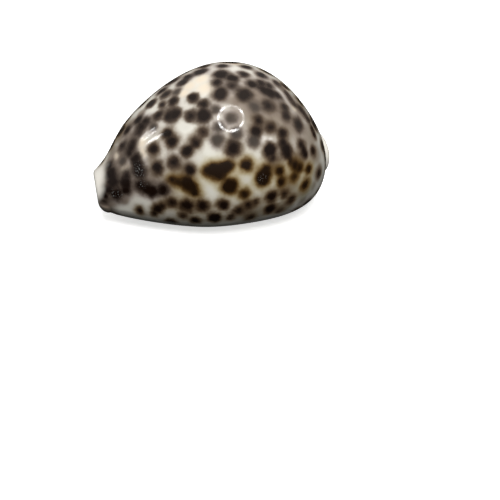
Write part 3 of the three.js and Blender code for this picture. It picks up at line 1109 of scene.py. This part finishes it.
def glowing(name, strength):
    material, tree, _ = new_material(name)
    tree.nodes.clear()
    patches = tree.nodes.new("ShaderNodeGroup")
    patches.node_tree = patchy_glow
    patches.inputs["Least"].default_value = GLOW_LEAST
    glow = tree.nodes.new("ShaderNodeEmission")
    plug(tree, glow.inputs["Color"], patches.outputs["Glow"])
    glow.inputs["Strength"].default_value = strength
    output = tree.nodes.new("ShaderNodeOutputMaterial")
    plug(tree, output.inputs["Surface"], glow.outputs[0])
    return material


def hang_lamp(name, drawing, strength):
    """Hangs a lamp whose mirror image is a drawing in pixels. Only the shell's reflection shows it."""
    for vert in drawing.verts:
        place, direction = mirrored(vert.co.xy)
        vert.co = place + LAMP_DISTANCE * direction
    lamp = make_object(name, drawing)
    drawing.free()
    lamp.data.materials.append(glowing(name + "_glow", strength))
    lamp.visible_camera = False
    lamp.visible_diffuse = False
    lamp.visible_shadow = False
    return lamp


print("lamps hang at, mm:", LAMP_DISTANCE / MM)

# %% Ring and bars
RING_PIXEL = (231.0, 118.5)
RING_RADII = (11.5, 13.6)  # pixels
RING_STEPS = 48
RING_STRENGTH = 30.0
BARS = {
    # name: (first pixel, last pixel, width in pixels, strength)
    "long_bar": ((141.5, 139.0), (155.0, 129.5), 4.5, 20.0),
    "short_bar": ((147.5, 143.5), (161.5, 134.0), 2.6, 30.0),
    "faint_bar": ((172.0, 150.0), (180.0, 155.5), 2.0, 3.0),
    "side_glow": ((262.0, 138.5), (273.0, 138.0), 4.5, 6.0),
}
BAR_STEPS = 8


def draw_ring():
    drawing = bmesh.new()
    inner, outer = RING_RADII
    bmesh.ops.create_circle(drawing, segments=RING_STEPS, radius=inner)
    grown = bmesh.ops.extrude_edge_only(drawing, edges=drawing.edges[:])["geom"]
    rim = [item for item in grown if isinstance(item, bmesh.types.BMVert)]
    bmesh.ops.scale(drawing, verts=rim, vec=(outer / inner, outer / inner, 1))
    bmesh.ops.translate(drawing, verts=drawing.verts, vec=(*RING_PIXEL, 0))
    return drawing


def draw_bar(first, last, width):
    first, last = Vector(first), Vector(last)
    along = last - first
    turn = Matrix.Rotation(math.atan2(along.y, along.x), 3, "Z")
    drawing = bmesh.new()
    bmesh.ops.create_grid(drawing, x_segments=BAR_STEPS, y_segments=1, size=0.5)
    bmesh.ops.scale(drawing, verts=drawing.verts, vec=(along.length, width, 1))
    bmesh.ops.rotate(drawing, verts=drawing.verts, matrix=turn)
    bmesh.ops.translate(drawing, verts=drawing.verts, vec=(*((first + last) / 2), 0))
    return drawing


lamps = [hang_lamp("ring_lamp", draw_ring(), RING_STRENGTH)]
for name, (first, last, width, strength) in BARS.items():
    lamps.append(hang_lamp(name, draw_bar(first, last, width), strength))
print("lamps:", [lamp.name for lamp in lamps])

# %% [markdown]
# ## The main light
# Those lamps only make highlights. Five broad soft lamps model the form: one high up, a weaker one in front
# for the lower side, a faint one for each end and one for the far side. They are left out of reflections,
# where they would show as squares.

# %% Soft lamps
SOFT_LAMP_SIZE = 0.35
SOFT_LAMP_DISTANCE = 0.60
SOFT_LAMPS = {
    # name: (compass angle and height angle in degrees, as for the camera, and watts)
    "high_lamp": (-14, 60, 3.85),
    "front_lamp": (22, 22, 0.52),
    "end_lamp": (105, 22, 0.36),
    "far_lamp": (165, 24, 2.2),
    "tip_lamp": (-128, 14, 0.8),
}


def soft_lamp(name, azimuth, elevation, watts):
    data = bpy.data.lights.new(name, "AREA")
    data.size = SOFT_LAMP_SIZE
    data.energy = watts
    lamp = bpy.data.objects.new(name, data)
    towards = direction_of(math.radians(azimuth), math.radians(elevation))
    lamp.location = AIM_POINT + SOFT_LAMP_DISTANCE * towards
    lamp.rotation_mode = "QUATERNION"
    lamp.rotation_quaternion = towards.to_track_quat("Z", "Y")
    lamp.visible_glossy = False
    scene.collection.objects.link(lamp)
    return lamp


soft_lamps = [soft_lamp(name, *values) for name, values in SOFT_LAMPS.items()]
print("soft lamps:", [lamp.name for lamp in soft_lamps])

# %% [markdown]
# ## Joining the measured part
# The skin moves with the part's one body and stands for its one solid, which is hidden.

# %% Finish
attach(shell, "root")
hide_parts("cowrie_shell")
